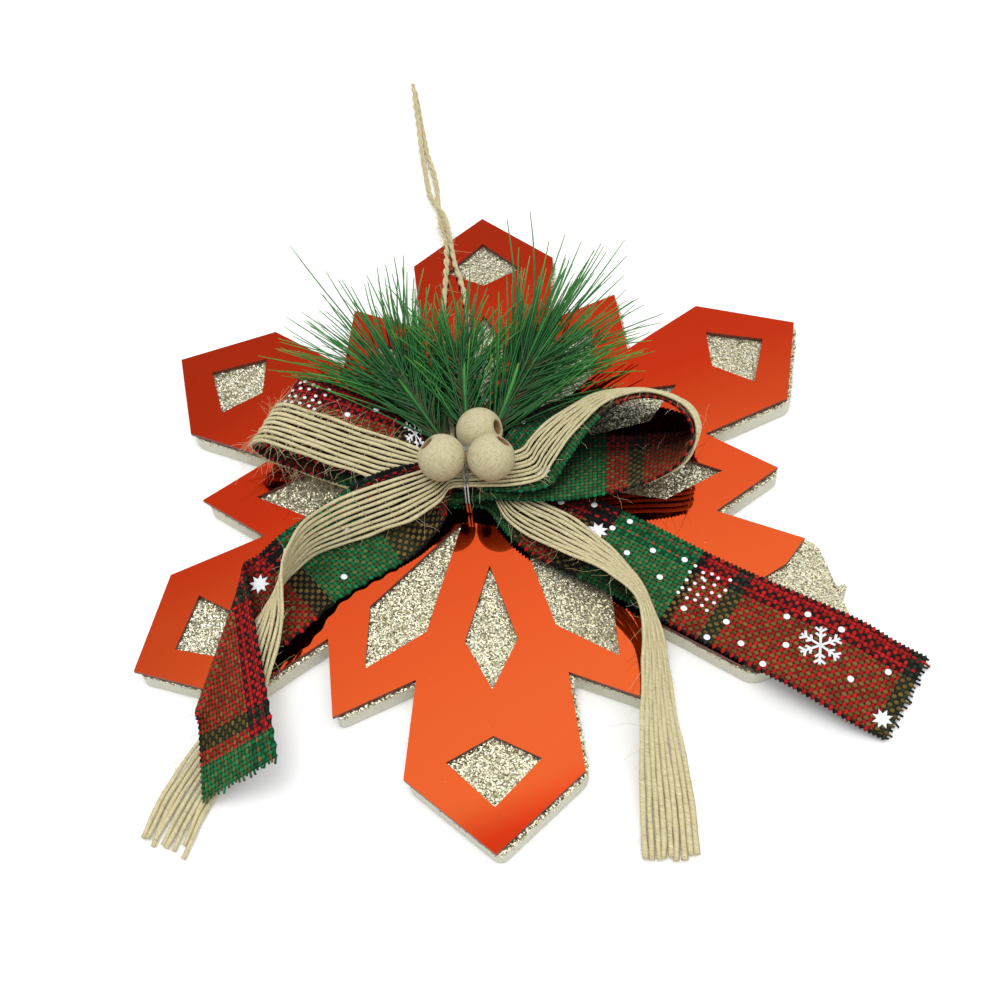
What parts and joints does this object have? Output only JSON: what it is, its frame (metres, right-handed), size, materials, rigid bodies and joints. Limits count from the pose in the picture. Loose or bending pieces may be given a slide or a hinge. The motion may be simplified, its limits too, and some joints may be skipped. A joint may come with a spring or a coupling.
{
  "type": "snowflake ornament",
  "caption": "Mirror acrylic snowflake on a glittered foam base, with a ribbon bow, wooden beads, pine sprigs and a twine hanging loop.",
  "frame": {"origin": "under the centre of the snowflake, on the flat underside of the foam base", "axes": "+Z out of the decorated face, -Y along the snowflake's front arm, +Y towards the arm that the hanging twine passes"},
  "size_m": [0.1898, 0.2739, 0.0442],
  "materials": {
    "glitter_foam": "craft foam with champagne glitter on top",
    "mirror_acrylic": "red mirror acrylic sheet",
    "plaid_burlap": "coarse plaid weave, wired edge",
    "jute": "loose natural jute",
    "bead_wood": "bare sanded wood",
    "silver_wire": "thin florist wire",
    "clear_glue": "clear hot glue",
    "pine_needles": "soft plastic needles"
  },
  "bodies": {
    "root": {"foam_base": "glitter_foam", "acrylic_face": "mirror_acrylic", "plaid_ribbon": "plaid_burlap", "jute_ribbon": "jute", "tie_wire": "silver_wire", "glue_dab": "clear_glue", "hanging_twine": "jute", "bead_left": "bead_wood", "bead_right": "bead_wood", "bead_top": "bead_wood", "pine_sprig_left": "pine_needles", "pine_sprig_middle": "pine_needles", "pine_sprig_right": "pine_needles"}
  },
  "joints": []
}
